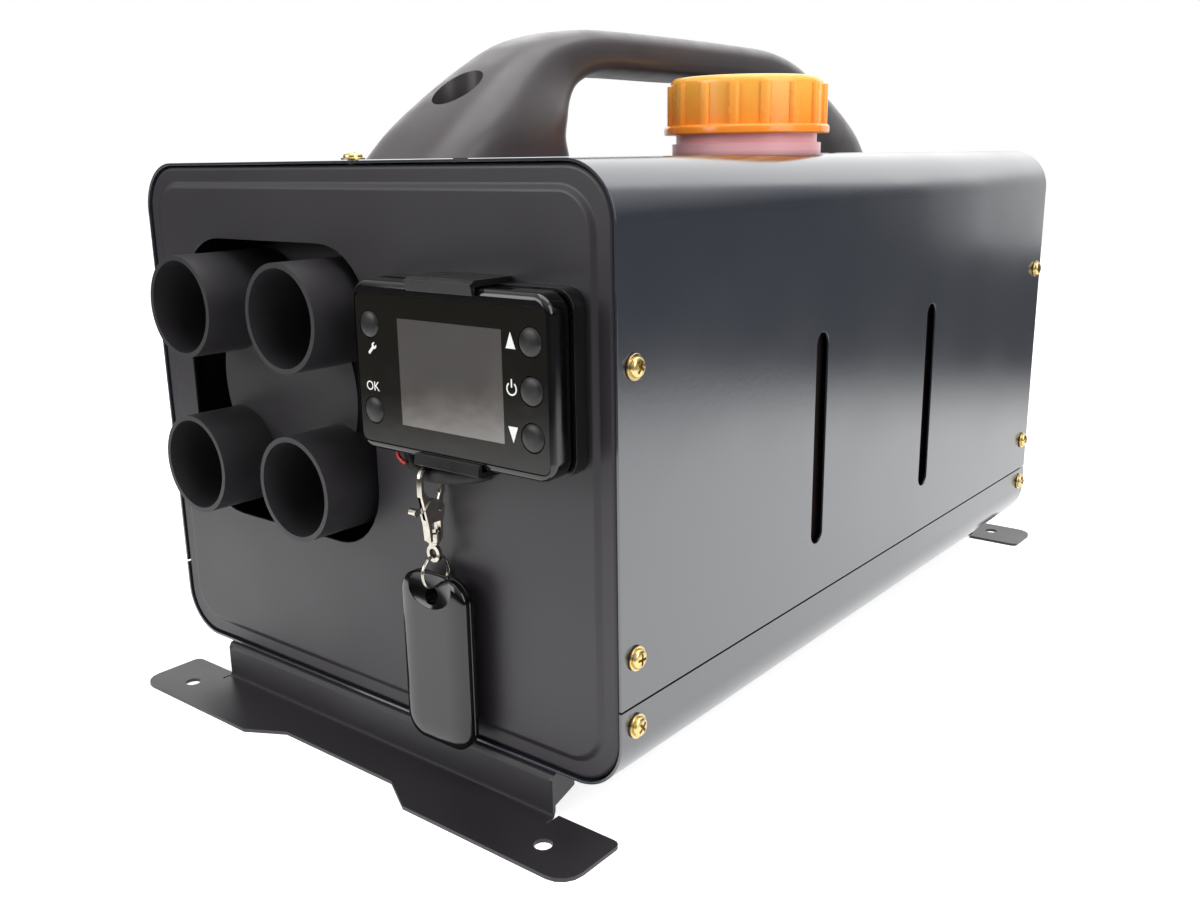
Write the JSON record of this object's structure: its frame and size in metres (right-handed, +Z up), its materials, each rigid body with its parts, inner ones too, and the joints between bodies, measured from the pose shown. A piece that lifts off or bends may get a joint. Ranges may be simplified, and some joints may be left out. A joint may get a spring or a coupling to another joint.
{
  "type": "diesel air heater",
  "caption": "Portable diesel air heater in a sheet-metal housing with a carrying handle, fuel tank and cap, four hot-air outlets, a clip-on controller and a hanging remote.",
  "frame": {"origin": "on the floor, under the middle of the housing", "axes": "+Z up, -Y out of the hot-air outlets, +X to the side of the fuel tank"},
  "size_m": [0.2678, 0.46, 0.2906],
  "materials": {
    "gray_paint": "semi-gloss dark grey powder coat",
    "black_paint": "satin black powder coat",
    "black_plastic": "fine-grained black plastic",
    "gloss_plastic": "polished black plastic",
    "display_lens": "tinted clear plastic",
    "lcd_glass": "blank display",
    "key_rubber": "matte silicone keys",
    "yellow_zinc": "yellow zinc plated steel",
    "dark_zinc": "black zinc plated steel",
    "nickel": "bright nickel plate",
    "orange_plastic": "translucent orange plastic",
    "tank_plastic": "translucent natural polyethylene",
    "rubber": "matte black rubber",
    "cast_aluminium": "as-cast aluminium",
    "stainless": "plain stainless steel",
    "board": "green solder resist"
  },
  "bodies": {
    "heater": {"upper_cover": "gray_paint", "bottom_pan": "gray_paint", "front_panel": "black_paint", "rear_panel": "black_paint", "front_foot_bracket": "black_paint", "rear_foot_bracket": "black_paint", "carrying_handle": "black_plastic", "outlet_manifold": "black_plastic", "heater_case": "black_plastic", "blower_motor": "black_plastic", "intake_pipe": "black_plastic", "power_inlet": "black_plastic", "controller_holder": "black_plastic", "controller_housing": "black_plastic", "controller_bezel": "gloss_plastic", "display_lens": "display_lens", "lcd_screen": "lcd_glass", "left_front_pan_screw": "yellow_zinc", "right_front_pan_screw": "yellow_zinc", "left_front_cover_lower_screw": "yellow_zinc", "right_front_cover_lower_screw": "yellow_zinc", "left_front_cover_upper_screw": "yellow_zinc", "right_front_cover_upper_screw": "yellow_zinc", "left_rear_pan_screw": "yellow_zinc", "right_rear_pan_screw": "yellow_zinc", "left_rear_cover_lower_screw": "yellow_zinc", "right_rear_cover_lower_screw": "yellow_zinc", "left_rear_cover_upper_screw": "yellow_zinc", "right_rear_cover_upper_screw": "yellow_zinc", "front_top_screw": "yellow_zinc", "rear_top_screw": "yellow_zinc", "front_handle_screw": "dark_zinc", "rear_handle_screw": "dark_zinc", "fuel_tank": "tank_plastic", "pump_clamp": "rubber", "suction_hose": "rubber", "delivery_hose": "rubber", "control_cable": "rubber", "heat_exchanger": "cast_aluminium", "fuel_pump": "cast_aluminium", "burner_tube": "stainless", "glow_plug": "stainless", "exhaust_pipe": "stainless", "control_board": "board"},
    "settings_key": {"button_settings": "key_rubber"},
    "ok_key": {"button_ok": "key_rubber"},
    "up_key": {"button_up": "key_rubber"},
    "power_key": {"button_power": "key_rubber"},
    "down_key": {"button_down": "key_rubber"},
    "cap_liner": {"cap_seal": "rubber"},
    "cap": {"fuel_cap": "orange_plastic"},
    "rotor": {"rotor_shaft": "stainless", "fan_wheel": "black_plastic", "combustion_impeller": "cast_aluminium"},
    "clasp": {"clasp_body": "nickel"},
    "trigger": {"clasp_trigger": "nickel"},
    "swivel": {"swivel_eye": "nickel"},
    "ring": {"split_ring": "nickel"},
    "remote": {"remote_front_shell": "gloss_plastic", "remote_rear_shell": "gloss_plastic"}
  },
  "joints": [
    {"name": "settings_press", "type": "slide", "parent": "heater", "child": "settings_key", "axis": [0, 1, 0], "range_m": [0, 0.001], "stiffness_N_per_m": 1000},
    {"name": "ok_press", "type": "slide", "parent": "heater", "child": "ok_key", "axis": [0, 1, 0], "range_m": [0, 0.001], "stiffness_N_per_m": 1000},
    {"name": "up_press", "type": "slide", "parent": "heater", "child": "up_key", "axis": [0, 1, 0], "range_m": [0, 0.001], "stiffness_N_per_m": 1000},
    {"name": "power_press", "type": "slide", "parent": "heater", "child": "power_key", "axis": [0, 1, 0], "range_m": [0, 0.001], "stiffness_N_per_m": 1000},
    {"name": "down_press", "type": "slide", "parent": "heater", "child": "down_key", "axis": [0, 1, 0], "range_m": [0, 0.001], "stiffness_N_per_m": 1000},
    {"name": "cap_lift", "type": "slide", "parent": "heater", "child": "cap_liner", "axis": [0, 0, 1], "range_m": [0, 0.006]},
    {"name": "cap_turn", "type": "hinge", "parent": "cap_liner", "child": "cap", "pos_m": [0.0695, -0.025, 0.25], "axis": [0, 0, 1], "range_deg": [0, 540]},
    {"name": "rotor_spin", "type": "hinge", "parent": "heater", "child": "rotor", "pos_m": [-0.0467, 0.1, 0.1453], "axis": [0, 1, 0], "continuous": true},
    {"name": "clasp_swing", "type": "hinge", "parent": "heater", "child": "clasp", "pos_m": [0.0515, -0.2084, 0.1255], "axis": [1, 0, 0], "range_deg": [-75, 0]},
    {"name": "trigger_press", "type": "hinge", "parent": "clasp", "child": "trigger", "pos_m": [0.0515, -0.206, 0.1123], "axis": [1, 0, 0], "range_deg": [0, 12], "stiffness_Nm_per_rad": 0.05},
    {"name": "swivel_turn", "type": "hinge", "parent": "clasp", "child": "swivel", "pos_m": [0.0515, -0.2084, 0.1005], "axis": [0, 0, 1], "range_deg": [-11, 11]},
    {"name": "ring_swing", "type": "hinge", "parent": "swivel", "child": "ring", "pos_m": [0.0515, -0.2084, 0.09315], "axis": [1, 0, 0], "range_deg": [-60, 0]},
    {"name": "remote_swing", "type": "hinge", "parent": "ring", "child": "remote", "pos_m": [0.0515, -0.2084, 0.0822], "axis": [0, 1, 0], "range_deg": [-35, 35]}
  ],
  "couplings": [
    {"joint": "cap_lift", "follows": "cap_turn", "m_per_rad": 0.00063662}
  ]
}
